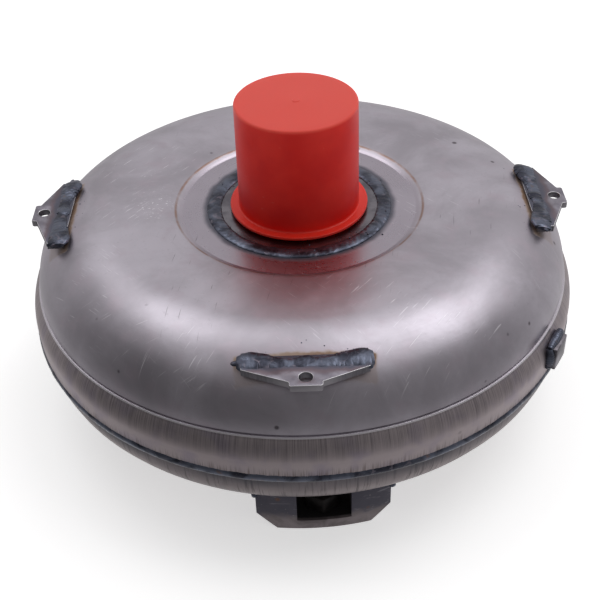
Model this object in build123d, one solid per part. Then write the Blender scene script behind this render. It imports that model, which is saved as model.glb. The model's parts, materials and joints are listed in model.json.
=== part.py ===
from build123d import *
import math
import os

# Torque converter, three elements in a welded housing.
# Millimetres. +Z runs along the hub, away from the engine.
# The origin is at the middle of the plane of the four drive lug pads, which the part stands on.

# ---- driving dimensions ----

# Welded housing
seam_r = 156.0             # impeller shell outside, at its seam line
dome_width = 46.0          # radial run of the dome, from the crown to the seam
dome_height = 38.0         # crown above the seam
dome_side_radius = 33.0    # rounding of the dome where it meets the seam
annulus_r = 69.0           # edge of the flat round the hub
annulus_drop = 3.8         # flat below the crown
annulus_step_width = 4.0   # radial width of the pressed step round the flat
annulus_step_rise = 2.2
shell_wall = 4.0
seam_step = 0.8            # the band starts this far outside the dome
seam_lip = 0.3             # and this far below the seam
joggle_drop = 2.0          # seam to the start of the joggle inside
band_bulge = 5.5           # band outside the seam radius at its fullest
band_bulge_drop = 14.0     # fullest point below the seam
band_height = 24.0         # seam to the lower edge of the band
band_taper = 0.3
skirt_wall = 3.1
cover_slip = 0.1           # radial slip of the cover in the band
cover_wall = 4.5
cover_depth = 58.0         # seam to the cover's face
cover_corner_width = 26.3
cover_side_height = 27.0   # height of the cover's rounded corner
cover_side_radius = 26.6
lap_gap = 0.7              # cover rim short of the shell's joggle
rim_bead_height = 5.8
rim_bead_proud = 1.2
rim_bead_crest = 0.38      # crest's share of the bead height, from the band down

# Pump drive hub
hub_r = 32.5
hub_bore_r = 24.0
hub_length = 65.7          # above the flat
hub_flange_lip = 13.5      # flange outside the hub
hub_flange_thickness = 9.0
hub_slip = 0.1
hub_slot_width = 10.0
hub_slot_depth = 12.0
hub_slot_count = 2
hub_chamfer = 1.5
hub_bead_in = 2.0          # bead reaches in over the hub flange
hub_bead_out = 7.8         # and out over the shell
hub_bead_height = 1.8

# Protective cap
cap_gap = 0.7              # radial gap to the hub
cap_wall_top = 1.4
cap_draft = 0.45           # growth of the outside radius from top to flange
cap_end_wall = 2.0
cap_flange_lip = 5.05
cap_flange_thickness = 1.8
cap_flange_clearance = 1.8  # flange above the flat, level with the weld round the hub
cap_edge_radius = 1.4
cap_gate_r = 1.8
cap_gate_height = 0.4

# Mounting ears
ear_count = 4
ear_angle = -90.0
ear_hole_in = 6.0          # hole's centre inside the seam
ear_hole_r = 3.5
ear_tip_margin = 6.2       # tip beyond the hole's centre
ear_thickness = 4.0
ear_tip_width = 16.4
ear_tip_length = 3.2
ear_base_width = 63.0
ear_base_in = 12.6         # where the sloping edges end, inside the seam
ear_root_in = 22.0
ear_bead_in = 19.2
ear_bead_radius = 5.4
ear_bead_length = 68.0
ear_bead_sink = 2.2        # bead axis below the ear's top face

# Drive lugs
lug_count = 4
lug_angle = -86.9
lug_height = 27.0          # pad to the cover's face
lug_outer_in = 12.5        # lug's outer face inside the seam
lug_depth = 30.0
lug_width = 74.0
lug_pad_width = 52.0
lug_pad_thickness = 6.5
lug_window_width = 30.0
lug_bolt_in = 15.0         # bolt inside the lug's outer face
lug_thread_r = 5.1         # M12 tapping radius
nut_across_flats = 19.0
nut_height = 10.8
lug_bead_radius = 2.8

# Pilot
pilot_r = 22.2
pilot_short = 3.0          # pilot end above the lug pads
pilot_base_r = 34.0
pilot_base_thickness = 6.0
pilot_chamfer = 2.0
pilot_bead = 4.5
pilot_bead_face = 0.6      # middle of the bead's face, as a share of its size

# Balance weight
weight_angle = -31.2
weight_length = 16.0
weight_height = 14.0
weight_drop = 13.0         # its middle below the seam
weight_proud = 4.2
weight_bead_radius = 3.0

# Fluid circuit
torus_gap = 1.5            # half the gap between impeller and turbine
core_offset = 2.0          # core centre outside the crown
core_width = 15.0
core_height = 12.0
core_side_radius = 11.0
core_wall = 1.2
blade_inner_r = 66.0
blade_thickness = 1.2
impeller_blade_count = 31
turbine_blade_count = 29
impeller_blade_curve = 180.0
turbine_blade_curve = 120.0
turbine_rim_gap = 2.3      # turbine outside to the cover rim
turbine_wall = 2.0
turbine_width = 39.5
turbine_height = 33.0
turbine_side_radius = 29.0
turbine_flange_r = 60.0
turbine_flange_drop = 3.0  # turbine shell crown below its inner bend

# Stator and freewheel
race_bore_r = 21.0
race_r = 32.0
roller_r = 4.0
roller_count = 14
roller_length = 22.0
roller_clearance = 0.05
cam_land_r = 37.6
freewheel_r = 49.0
drum_r = 60.0
stator_blade_count = 23
stator_blade_thickness = 3.2
stator_blade_lean = 28.0
stator_half_width = 11.0
stator_blade_root = 1.0    # blades start inside the drum
stator_blade_margin = 1.0  # and end short of the shroud's edges
stator_blade_excess = 1.4  # blank length over the finished blade
stator_overhang = 4.5      # drum beyond the shroud at the front
shroud_wall = 2.0
shroud_gap = 3.0
side_plate_thickness = 3.0
side_plate_bore_r = 25.0
retainer_width = 4.0
retainer_thickness = 1.6
retainer_groove = 1.5
retainer_slip = 0.1        # radial slip of the side plates and the snap ring
retainer_opening = 8.0     # snap ring's open ends
race_end_gap = 0.4
spring_thickness = 0.5
spring_offset = 1.0        # leaf beyond the roller's pocket
spring_short = 4.0         # leaf shorter than its roller
spring_pocket_share = 0.75  # half the spring pocket's radial size, over the roller pocket's radius

# Thrust bearings
bearing_needle_r = 1.0
bearing_race = 0.95
bearing_clearance = 0.05
bearing_cage = 1.2
bearing_needle_count = 24
bearing_pocket_gap = 0.1
bearing_lip = 1.5
main_bearing_in = 28.0
main_bearing_out = 41.0
front_bearing_in = 15.5
front_bearing_out = 29.0

# Turbine hub
spline_root_r = 17.0
spline_tip_r = 15.6
spline_teeth = 27
race_spline_depth = 1.3
race_spline_teeth = 33
turbine_hub_nose_r = 30.0
turbine_hub_flange_thickness = 6.0
rivet_count = 12
rivet_r = 3.0
rivet_head_r = 4.8
rivet_head_height = 1.4
rivet_edge = 6.0
rivet_slip = 0.1

# ---- levels and radii that follow ----

cover_face_z = lug_height
seam_z = cover_face_z + cover_depth
crown_z = seam_z + dome_height
flat_z = crown_z - annulus_drop
crown_r = seam_r - dome_width
band_r = seam_r + band_bulge
skirt_r = band_r - skirt_wall
band_edge_z = seam_z - band_height
cover_r = skirt_r - cover_slip
cover_inside_z = cover_face_z + cover_wall
joggle_top_z = seam_z - joggle_drop
hub_flange_r = hub_r + hub_flange_lip
ear_hole_centre_r = seam_r - ear_hole_in
ear_base_r = seam_r - ear_base_in
ear_root_r = seam_r - ear_root_in
ear_bead_r = seam_r - ear_bead_in
lug_outer_r = seam_r - lug_outer_in
lug_bolt_r = lug_outer_r - lug_bolt_in
joggle_low_z = joggle_top_z - (skirt_r - seam_r + shell_wall)
hub_end_z = flat_z + hub_length
hub_seat_z = flat_z - hub_flange_thickness
bearing_height = 2 * (bearing_race + bearing_clearance + bearing_needle_r)
torus_z = seam_z - torus_gap
core_r = crown_r + core_offset
rear_plate_z = hub_seat_z - bearing_height
front_plate_z = torus_z - stator_half_width - stator_overhang
turbine_hub_top_z = front_plate_z - bearing_height
turbine_hub_low_z = turbine_hub_top_z - turbine_hub_flange_thickness
turbine_nose_z = cover_inside_z + bearing_height
turbine_side_r = cover_r - cover_wall - turbine_rim_gap - turbine_wall
turbine_crown_r = turbine_side_r - turbine_width
turbine_rim_z = torus_z - torus_gap
turbine_crown_z = turbine_rim_z - turbine_height
core_inner_r = core_r - core_width
shroud_r = core_inner_r - shroud_gap
roller_centre_r = race_r + roller_clearance + roller_r
roller_pocket_r = roller_r + 2 * roller_clearance
spring_pocket_r = roller_centre_r + spring_pocket_share * roller_pocket_r
weight_middle_z = seam_z - weight_drop


# ---- helpers ----

largest_share = 0.95       # most that an oval's side radius may take of its width or height


def line(*points):
    # Straight runs through points given as radius and height.
    return Polyline(*[(r, 0, z) for r, z in points])


def oval(side_r, side_z, flat_r, flat_z_level, side_radius):
    # Two tangent arcs, from upright at the side to level at the flat.
    width = side_r - flat_r
    height = abs(flat_z_level - side_z)
    up = 1 if flat_z_level > side_z else -1
    small = min(side_radius, largest_share * width, largest_share * height)
    large = (small**2 - height**2 - (width - small) ** 2) / (2 * (small - height))
    centre = (side_r - small, side_z)
    far = (flat_r, flat_z_level - up * large)
    turn = math.atan2(large - height, centre[0] - flat_r)

    def on(middle, radius, angle):
        return (middle[0] + radius * math.cos(angle), 0, middle[1] + up * radius * math.sin(angle))

    start = (side_r, 0, side_z)
    join = on(centre, small, turn)
    end = (flat_r, 0, flat_z_level)
    first = ThreePointArc(start, on(centre, small, turn / 2), join)
    second = ThreePointArc(join, on(far, large, (turn + math.pi / 2) / 2), end)
    return [first, second]


def turned(*edges):
    # Full turn of a closed outline.
    return revolve(make_face(list(edges)), Axis.Z)


def disc(radius, low_z, high_z):
    return Pos(0, 0, low_z) * extrude(Circle(radius), high_z - low_z)


def ring(inner_r, outer_r, low_z, high_z):
    return disc(outer_r, low_z, high_z) - disc(inner_r, low_z, high_z)


def around(piece, count, first_angle=0.0):
    # Copies of one solid about the axis, kept as separate solids.
    return [Rot(0, 0, first_angle + k * 360 / count) * piece for k in range(count)]


def spline_bore(root_r, tip_r, teeth, low_z, high_z):
    # Space inside a splined hole: tooth spaces reach root_r, teeth reach in to tip_r.
    step = 2 * math.pi / teeth
    corners = []
    for k in range(teeth):
        for share, radius in ((-0.30, tip_r), (-0.18, root_r), (0.18, root_r), (0.30, tip_r)):
            angle = (k + share) * step
            corners.append((radius * math.cos(angle), radius * math.sin(angle)))
    return Pos(0, 0, low_z) * extrude(make_face(Polyline(*corners, close=True)), high_z - low_z)


def save(name, *solids):
    shape = solids[0] if len(solids) == 1 else Compound(children=list(solids))
    shape.label = name
    export_step(shape, f"parts/{name}.step")


# ---- housing ----

def shell_outside():
    # Outline of the shell's outer face from the flat's edge to the seam.
    step_r = annulus_r + annulus_step_width
    step_z = flat_z + annulus_step_rise
    crown = TangentArc((crown_r, 0, crown_z), (step_r, 0, step_z), tangent=(-1, 0, 0))
    return [line((annulus_r, flat_z), (step_r, step_z)), crown,
            *oval(seam_r, seam_z, crown_r, crown_z, dome_side_radius)]


def shell_inside():
    # The same outline one wall further in.
    step_r = annulus_r + annulus_step_width
    step_z = flat_z + annulus_step_rise - shell_wall
    crown = TangentArc((crown_r, 0, crown_z - shell_wall), (step_r, 0, step_z), tangent=(-1, 0, 0))
    side = oval(seam_r - shell_wall, seam_z, crown_r, crown_z - shell_wall,
                dome_side_radius - shell_wall)
    return [line((annulus_r, flat_z - shell_wall), (step_r, step_z)), crown, *side]


def band_outside():
    # Outline of the band from the seam to its lower edge.
    shoulder = (seam_r + seam_step, seam_z - seam_lip)
    bulge_z = seam_z - band_bulge_drop
    bulge = TangentArc((band_r, 0, bulge_z), (shoulder[0], 0, shoulder[1]), tangent=(0, 0, 1))
    return [line((seam_r, seam_z), shoulder), bulge,
            line((band_r, bulge_z), (band_r - band_taper, band_edge_z))]


def impeller_shell():
    hole_r = hub_flange_r + hub_slip
    inner_r = seam_r - shell_wall
    skirt = line((band_r - band_taper, band_edge_z), (skirt_r, band_edge_z), (skirt_r, joggle_low_z),
                 (inner_r, joggle_top_z), (inner_r, seam_z))
    inner_flat = line((annulus_r, flat_z - shell_wall), (hole_r, flat_z - shell_wall),
                      (hole_r, flat_z), (annulus_r, flat_z))
    return turned(*shell_outside(), *band_outside(), skirt, *shell_inside(), inner_flat)


def shell_filled():
    # The shell's outer form as one solid block, to trim what is welded onto it.
    low = line((band_r - band_taper, band_edge_z), (0, band_edge_z), (0, flat_z), (annulus_r, flat_z))
    return turned(*shell_outside(), *band_outside(), low)


def cover_outside():
    flat_r = cover_r - cover_corner_width
    side_z = cover_face_z + cover_side_height
    return oval(cover_r, side_z, flat_r, cover_face_z, cover_side_radius)


def front_cover():
    rim_z = joggle_low_z - lap_gap
    side_z = cover_face_z + cover_side_height
    flat_r = cover_r - cover_corner_width
    inside = oval(cover_r - cover_wall, side_z, flat_r, cover_inside_z, cover_side_radius - cover_wall)
    rim = line((cover_r, side_z), (cover_r, rim_z), (cover_r - cover_wall, rim_z),
               (cover_r - cover_wall, side_z))
    centre = line((flat_r, cover_inside_z), (0, cover_inside_z), (0, cover_face_z),
                  (flat_r, cover_face_z))
    return turned(*cover_outside(), rim, *inside, centre)


def cover_filled():
    flat_r = cover_r - cover_corner_width
    side_z = cover_face_z + cover_side_height
    block = line((cover_r, side_z), (cover_r, band_edge_z), (0, band_edge_z), (0, cover_face_z),
                 (flat_r, cover_face_z))
    return turned(*cover_outside(), block)


def rim_weld():
    # Fillet bead between the band's lower edge and the cover's side.
    toe_z = band_edge_z - rim_bead_height
    top_r = band_r - band_taper
    crest = (top_r + rim_bead_proud, 0, band_edge_z - rim_bead_crest * rim_bead_height)
    face = ThreePointArc((top_r, 0, band_edge_z), crest, (cover_r, 0, toe_z))
    return turned(face, line((cover_r, toe_z), (cover_r, band_edge_z), (top_r, band_edge_z)))


def impeller_hub():
    tip_r = hub_r - hub_chamfer
    outline = line((hub_bore_r, hub_seat_z), (hub_flange_r, hub_seat_z), (hub_flange_r, flat_z),
                   (hub_r, flat_z), (hub_r, hub_end_z - hub_chamfer), (tip_r, hub_end_z),
                   (hub_bore_r, hub_end_z), (hub_bore_r, hub_seat_z))
    hub = turned(outline)
    wall = hub_r - hub_bore_r + 2 * hub_chamfer
    slot = Pos((hub_bore_r + hub_r) / 2, 0, hub_end_z) * Box(wall, hub_slot_width, 2 * hub_slot_depth)
    for cut in around(slot, hub_slot_count):
        hub -= cut
    return hub


def hub_weld():
    low_r = hub_flange_r - hub_bead_in
    high_r = hub_flange_r + hub_bead_out
    crest = ((low_r + high_r) / 2, 0, flat_z + hub_bead_height)
    face = ThreePointArc((low_r, 0, flat_z), crest, (high_r, 0, flat_z))
    return turned(face, line((high_r, flat_z), (low_r, flat_z)))


def pilot_boss():
    base_z = cover_face_z - pilot_base_thickness
    outline = line((0, cover_face_z), (pilot_base_r, cover_face_z), (pilot_base_r, base_z),
                   (pilot_r, base_z), (pilot_r, pilot_short + pilot_chamfer),
                   (pilot_r - pilot_chamfer, pilot_short), (0, pilot_short), (0, cover_face_z))
    return turned(outline)


def pilot_weld():
    corner = (pilot_base_r, cover_face_z)
    low = (pilot_base_r, 0, cover_face_z - pilot_bead)
    out = (pilot_base_r + pilot_bead, 0, cover_face_z)
    reach = pilot_bead_face * pilot_bead
    middle = (pilot_base_r + reach, 0, cover_face_z - reach)
    face = ThreePointArc(low, middle, out)
    return turned(face, line((out[0], out[2]), corner, (low[0], low[2])))


# A lug or an ear is drawn pointing along +X, then turned to its angle.

def drive_lug(cover_block):
    reach = lug_height + cover_side_height
    chamfer = (lug_width - lug_pad_width) / 2
    side = lug_width / 2
    half_pad = lug_pad_width / 2
    outline = Polyline((0, -half_pad, 0), (0, half_pad, 0), (0, side, chamfer), (0, side, reach),
                       (0, -side, reach), (0, -side, chamfer), close=True)
    length = lug_depth + side
    block = Pos(lug_outer_r - lug_depth, 0, 0) * extrude(make_face(outline), length, dir=(1, 0, 0))
    block &= disc(lug_outer_r, 0, reach)
    window = Box(2 * length, lug_window_width, reach)
    window = Pos(lug_outer_r, 0, lug_pad_thickness + reach / 2) * window
    hole = Pos(lug_bolt_r, 0, 0) * Cylinder(lug_thread_r, 4 * lug_pad_thickness)
    return block - window - hole - cover_block


def lug_nut():
    hexagon = RegularPolygon(nut_across_flats / 2, 6, major_radius=False) - Circle(lug_thread_r)
    return Pos(lug_bolt_r, 0, lug_pad_thickness) * extrude(hexagon, nut_height)


def lug_bead(side, cover_block, lug):
    length = lug_depth - lug_bead_radius
    middle_r = lug_outer_r - lug_depth / 2 - lug_bead_radius
    place = Pos(middle_r, side * lug_width / 2, lug_height) * Rot(0, 90, 0)
    return place * Cylinder(lug_bead_radius, length) - cover_block - lug


def mounting_ear(shell_block):
    tip_r = ear_hole_centre_r + ear_tip_margin
    neck_r = tip_r - ear_tip_length
    half_tip = ear_tip_width / 2
    half_base = ear_base_width / 2
    outline = Polyline((tip_r, half_tip), (neck_r, half_tip), (ear_base_r, half_base),
                       (ear_root_r, half_base), (ear_root_r, -half_base), (ear_base_r, -half_base),
                       (neck_r, -half_tip), (tip_r, -half_tip), close=True)
    plate = make_face(outline) - Pos(ear_hole_centre_r, 0) * Circle(ear_hole_r)
    return Pos(0, 0, flat_z - ear_thickness) * extrude(plate, ear_thickness) - shell_block


def ear_bead(shell_block, ear):
    # Rounded fillet along the ear's root, between its top face and the dome.
    section = Pos(ear_bead_r, flat_z - ear_bead_sink) * Circle(ear_bead_radius)
    bead = Plane.XZ * section
    bead = Pos(0, ear_bead_length / 2, 0) * extrude(bead, ear_bead_length)
    return bead - shell_block - ear


def balance_weight(shell_block):
    low_z = weight_middle_z - weight_height / 2
    block = Pos(band_r, 0, weight_middle_z) * Box(2 * weight_proud, weight_length, weight_height)
    block &= disc(band_r + weight_proud, low_z, low_z + weight_height)
    return block - shell_block


def weight_beads(shell_block, weight):
    # Upright beads on the weight's two ends.
    beads = []
    for end in (-1, 1):
        place = Pos(band_r, end * weight_length / 2, weight_middle_z)
        bead = place * Cylinder(weight_bead_radius, weight_height)
        beads.append(bead - shell_block - weight)
    return beads


# ---- fluid circuit ----

def curved_sheet(outer_r, curve_radius, thickness, low_z, high_z):
    # Upright sheet whose plan is an arc that starts on the X axis and sweeps back.
    plan = Circle(curve_radius + thickness / 2) - Circle(curve_radius - thickness / 2)
    height = high_z - low_z
    sheet = Pos(0, curve_radius, low_z) * extrude(plan, height)
    keep = Pos(outer_r / 2, 0, (low_z + high_z) / 2) * Box(outer_r, 2 * curve_radius, 2 * height)
    return sheet & keep


def core_outline(level_z, up, wall):
    # Curved outer side and level inner side of a core ring, one wall in from its outer face.
    top_z = level_z + up * (core_height - wall)
    side = oval(core_r + core_width - wall, level_z, core_r, top_z, core_side_radius - wall)
    return side, (core_inner_r, top_z)


def core_ring(level_z, up):
    outer, outer_end = core_outline(level_z, up, 0)
    inner, inner_end = core_outline(level_z, up, core_wall)
    return turned(*outer, *inner,
                  line((core_r, outer_end[1]), outer_end, inner_end, (core_r, inner_end[1])),
                  line((core_r + core_width - core_wall, level_z), (core_r + core_width, level_z)))


def impeller_blade():
    side, inner = core_outline(seam_z, 1, 0)
    top_z = flat_z - shell_wall
    space = turned(*shell_inside(), *side,
                   line((seam_r - shell_wall, seam_z), (core_r + core_width, seam_z)),
                   line((core_r, inner[1]), (blade_inner_r, inner[1]), (blade_inner_r, top_z),
                        (annulus_r, top_z)))
    sheet = curved_sheet(seam_r, impeller_blade_curve, blade_thickness, seam_z, crown_z)
    return space & sheet


def turbine_profile(wall):
    # One face of the turbine shell, from its rim to the bend at its flange.
    side = oval(turbine_side_r + wall, turbine_rim_z, turbine_crown_r, turbine_crown_z - wall,
                turbine_side_radius + wall)
    bend_r = (turbine_flange_r + turbine_crown_r) / 2
    bend_z = turbine_crown_z + turbine_flange_drop - wall
    crown = TangentArc((turbine_crown_r, 0, turbine_crown_z - wall), (bend_r, 0, bend_z),
                       tangent=(-1, 0, 0))
    flange = line((bend_r, bend_z), (turbine_flange_r, turbine_hub_low_z - wall))
    return [*side, crown, flange]


def turbine_shell():
    inner_r = turbine_hub_nose_r + hub_slip
    top_z = turbine_hub_low_z
    flat = line((turbine_flange_r, top_z), (inner_r, top_z), (inner_r, top_z - turbine_wall),
                (turbine_flange_r, top_z - turbine_wall))
    rim = line((turbine_side_r, turbine_rim_z), (turbine_side_r + turbine_wall, turbine_rim_z))
    shell = turned(*turbine_profile(0), *turbine_profile(turbine_wall), flat, rim)
    for hole in rivet_holes():
        shell -= hole
    return shell


def turbine_blade():
    side, inner = core_outline(turbine_rim_z, -1, 0)
    space = turned(*turbine_profile(0), *side,
                   line((turbine_side_r, turbine_rim_z), (core_r + core_width, turbine_rim_z)),
                   line((core_r, inner[1]), (blade_inner_r, inner[1]),
                        (blade_inner_r, turbine_hub_low_z), (turbine_flange_r, turbine_hub_low_z)))
    sheet = curved_sheet(seam_r, turbine_blade_curve, blade_thickness,
                         turbine_crown_z, turbine_rim_z)
    trim = ring(blade_inner_r, seam_r, turbine_crown_z, turbine_rim_z)
    return mirror(space & sheet & trim, about=Plane.XZ)


def rivet_circle():
    return turbine_flange_r - rivet_edge - rivet_head_r


def rivet_holes():
    stack = turbine_hub_flange_thickness + turbine_wall
    hole = Cylinder(rivet_r + rivet_slip, 2 * stack)
    return around(Pos(rivet_circle(), 0, turbine_hub_top_z - stack / 2) * hole, rivet_count)


def turbine_rivets():
    low_z = turbine_hub_low_z - turbine_wall
    stack = turbine_hub_top_z - low_z
    shank = Pos(0, 0, low_z) * extrude(Circle(rivet_r), stack)
    top = Pos(0, 0, turbine_hub_top_z) * extrude(Circle(rivet_head_r), rivet_head_height)
    tail = Pos(0, 0, low_z - rivet_head_height) * extrude(Circle(rivet_head_r), rivet_head_height)
    return around(Pos(rivet_circle(), 0, 0) * (shank + top + tail), rivet_count)


def turbine_hub():
    flange = disc(turbine_flange_r - rivet_edge / 2, turbine_hub_low_z, turbine_hub_top_z)
    nose = disc(turbine_hub_nose_r, turbine_nose_z, turbine_hub_low_z)
    hub = flange + nose
    hub -= spline_bore(spline_root_r, spline_tip_r, spline_teeth, turbine_nose_z, turbine_hub_top_z)
    for hole in rivet_holes():
        hub -= hole
    return hub


# ---- stator and freewheel ----

def stator_wheel():
    # Cast wheel: drum, blades and shroud in one piece.
    lip_z = front_plate_z + retainer_thickness
    lip_r = freewheel_r - retainer_width
    drum = ring(freewheel_r, drum_r, front_plate_z, rear_plate_z)
    drum += ring(lip_r, freewheel_r, front_plate_z, lip_z)
    groove_z = rear_plate_z - retainer_thickness
    drum -= disc(freewheel_r + retainer_groove, groove_z, rear_plate_z)
    shroud_low = torus_z - stator_half_width
    shroud_high = torus_z + stator_half_width
    shroud = ring(shroud_r - shroud_wall, shroud_r, shroud_low, shroud_high)
    root = drum_r - stator_blade_root
    tip = shroud_r - shroud_wall / 2
    height = 2 * stator_half_width / math.cos(math.radians(stator_blade_lean))
    blade = Box(tip - root, stator_blade_thickness, stator_blade_excess * height)
    blade = Pos((root + tip) / 2, 0, torus_z) * Rot(stator_blade_lean, 0, 0) * blade
    blade &= ring(root, tip, shroud_low + stator_blade_margin, shroud_high - stator_blade_margin)
    return drum + shroud + around(blade, stator_blade_count)


def side_plate(face_z, up):
    # Stepped plate: its rim sits behind the lip or the snap ring, its middle carries the bearing.
    back_z = face_z - up * side_plate_thickness
    rim_z = face_z - up * retainer_thickness
    rim_r = freewheel_r - retainer_slip
    step_r = rim_r - retainer_width
    return turned(line((side_plate_bore_r, back_z), (rim_r, back_z), (rim_r, rim_z), (step_r, rim_z),
                       (step_r, face_z), (side_plate_bore_r, face_z), (side_plate_bore_r, back_z)))


def snap_ring():
    # Open ring in the drum's groove.
    low_z = rear_plate_z - retainer_thickness
    inner_r = freewheel_r - retainer_width + retainer_slip
    gap = Box(4 * retainer_width, retainer_opening, 4 * retainer_thickness)
    body = ring(inner_r, freewheel_r + retainer_groove, low_z, rear_plate_z)
    return body - Pos(freewheel_r, 0, rear_plate_z) * gap


def freewheel_outer_race():
    # Each roller has a round pocket, open at one side to the pocket of its spring.
    low_z = front_plate_z + side_plate_thickness
    high_z = rear_plate_z - side_plate_thickness
    height = high_z - low_z
    race = ring(cam_land_r, freewheel_r, low_z, high_z)
    pocket = Pos(roller_centre_r, 0, low_z) * extrude(Circle(roller_pocket_r), height)
    spring_side = Pos(roller_centre_r, roller_pocket_r, (low_z + high_z) / 2)
    pocket += spring_side * Box(2 * (spring_pocket_r - roller_centre_r), 2 * roller_r, height)
    for cut in around(pocket, roller_count):
        race -= cut
    return race


def freewheel_rollers():
    middle_z = (front_plate_z + rear_plate_z) / 2
    return around(Pos(roller_centre_r, 0, middle_z) * Cylinder(roller_r, roller_length), roller_count)


def freewheel_springs():
    # One leaf beside each roller, which pushes it up its ramp.
    middle_z = (front_plate_z + rear_plate_z) / 2
    leaf = Box(roller_r, spring_thickness, roller_length - spring_short)
    place = Pos(spring_pocket_r - roller_r / 2, roller_pocket_r + spring_offset, middle_z)
    return around(place * leaf, roller_count)


def freewheel_inner_race():
    low_z = front_plate_z + side_plate_thickness + race_end_gap
    high_z = rear_plate_z - side_plate_thickness - race_end_gap
    root_r = race_bore_r + race_spline_depth
    bore = spline_bore(root_r, race_bore_r, race_spline_teeth, low_z, high_z)
    return disc(race_r, low_z, high_z) - bore


# ---- thrust bearings ----

def bearing_races(low_z, inner_r, outer_r):
    lower = ring(inner_r, outer_r, low_z, low_z + bearing_race)
    top_z = low_z + bearing_height
    upper = ring(inner_r, outer_r, top_z - bearing_race, top_z)
    return lower, upper


def bearing_cage_and_needles(low_z, inner_r, outer_r):
    middle_z = low_z + bearing_height / 2
    length = outer_r - inner_r - 4 * bearing_lip
    centre_r = (inner_r + outer_r) / 2
    cage = ring(inner_r + bearing_lip, outer_r - bearing_lip,
                middle_z - bearing_cage / 2, middle_z + bearing_cage / 2)
    pocket_width = 2 * (bearing_needle_r + bearing_pocket_gap)
    pocket = Box(length + 2 * bearing_pocket_gap, pocket_width, bearing_height)
    for cut in around(Pos(centre_r, 0, middle_z) * pocket, bearing_needle_count):
        cage -= cut
    needle = Pos(centre_r, 0, middle_z) * Rot(0, 90, 0) * Cylinder(bearing_needle_r, length)
    return cage, around(needle, bearing_needle_count)


# ---- protective cap ----

def hub_cap():
    inner_r = hub_r + cap_gap
    top_r = inner_r + cap_wall_top
    low_r = top_r + cap_draft
    flange_r = low_r + cap_flange_lip
    low_z = flat_z + cap_flange_clearance
    flange_z = low_z + cap_flange_thickness
    top_z = hub_end_z + cap_end_wall
    bend = 1 - math.sqrt(0.5)
    edge = ThreePointArc((top_r, 0, top_z - cap_edge_radius),
                         (top_r - cap_edge_radius * bend, 0, top_z - cap_edge_radius * bend),
                         (top_r - cap_edge_radius, 0, top_z))
    gate_z = top_z + cap_gate_height
    skirt = line((top_r - cap_edge_radius, top_z), (cap_gate_r, top_z), (cap_gate_r, gate_z),
                 (0, gate_z), (0, hub_end_z), (inner_r, hub_end_z), (inner_r, low_z),
                 (flange_r, low_z), (flange_r, flange_z), (low_r, flange_z),
                 (top_r, top_z - cap_edge_radius))
    return turned(edge, skirt)


# ---- build ----

os.makedirs("parts", exist_ok=True)

shell_block = shell_filled()
cover_block = cover_filled()

save("impeller_shell", impeller_shell())
save("front_cover", front_cover())
save("rim_weld", rim_weld())
save("impeller_hub", impeller_hub())
save("hub_weld", hub_weld())
save("pilot_boss", pilot_boss())
save("pilot_weld", pilot_weld())

lug = drive_lug(cover_block)
lug_beads = [lug_bead(side, cover_block, lug) for side in (-1, 1)]
for number, placed in enumerate(around(lug, lug_count, lug_angle), start=1):
    save(f"drive_lug_{number}", placed)
save("lug_nuts", *around(lug_nut(), lug_count, lug_angle))
save("lug_welds", *[copy for bead in lug_beads for copy in around(bead, lug_count, lug_angle)])

ear = mounting_ear(shell_block)
for number, placed in enumerate(around(ear, ear_count, ear_angle), start=1):
    save(f"mounting_ear_{number}", placed)
save("ear_welds", *around(ear_bead(shell_block, ear), ear_count, ear_angle))

weight = balance_weight(shell_block)
save("balance_weight", Rot(0, 0, weight_angle) * weight)
weight_welds = weight_beads(shell_block, weight)
save("balance_weight_welds", *[Rot(0, 0, weight_angle) * bead for bead in weight_welds])

save("impeller_core_ring", core_ring(seam_z, 1))
save("impeller_blades", *around(impeller_blade(), impeller_blade_count))

save("turbine_shell", turbine_shell())
save("turbine_core_ring", core_ring(turbine_rim_z, -1))
save("turbine_blades", *around(turbine_blade(), turbine_blade_count))
save("turbine_hub", turbine_hub())
save("turbine_rivets", *turbine_rivets())

save("stator_wheel", stator_wheel())
save("stator_front_plate", side_plate(front_plate_z, -1))
save("stator_rear_plate", side_plate(rear_plate_z, 1))
save("stator_snap_ring", snap_ring())
save("freewheel_outer_race", freewheel_outer_race())
save("freewheel_rollers", *freewheel_rollers())
save("freewheel_springs", *freewheel_springs())
save("freewheel_inner_race", freewheel_inner_race())

bearings = {
    "front": (cover_inside_z, front_bearing_in, front_bearing_out, "cover", "turbine"),
    "middle": (turbine_hub_top_z, main_bearing_in, main_bearing_out, "turbine", "stator"),
    "rear": (rear_plate_z, main_bearing_in, main_bearing_out, "stator", "hub"),
}
for place, (low_z, inner_r, outer_r, below, above) in bearings.items():
    lower, upper = bearing_races(low_z, inner_r, outer_r)
    save(f"{place}_bearing_race_{below}", lower)
    save(f"{place}_bearing_race_{above}", upper)
    cage, needles = bearing_cage_and_needles(low_z, inner_r, outer_r)
    save(f"{place}_bearing_cage", cage)
    save(f"{place}_bearing_needles", *needles)

save("hub_cap", hub_cap())
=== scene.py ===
import bmesh
import bpy
import json
import math
import random
from mathutils import Matrix, Vector


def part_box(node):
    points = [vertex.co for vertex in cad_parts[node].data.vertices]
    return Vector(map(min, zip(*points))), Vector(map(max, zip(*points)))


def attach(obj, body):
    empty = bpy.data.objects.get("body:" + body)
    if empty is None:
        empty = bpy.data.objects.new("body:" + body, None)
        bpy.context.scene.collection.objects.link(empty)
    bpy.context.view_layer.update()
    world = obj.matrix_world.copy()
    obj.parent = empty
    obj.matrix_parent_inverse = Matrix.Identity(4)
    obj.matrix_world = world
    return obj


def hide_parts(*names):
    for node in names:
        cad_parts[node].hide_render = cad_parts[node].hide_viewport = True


# Torque converter: welded housing with mounting ears, drive lugs and a red cap on its hub.
# Lengths in the settings are millimetres, everything handed to Blender is metres.

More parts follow.
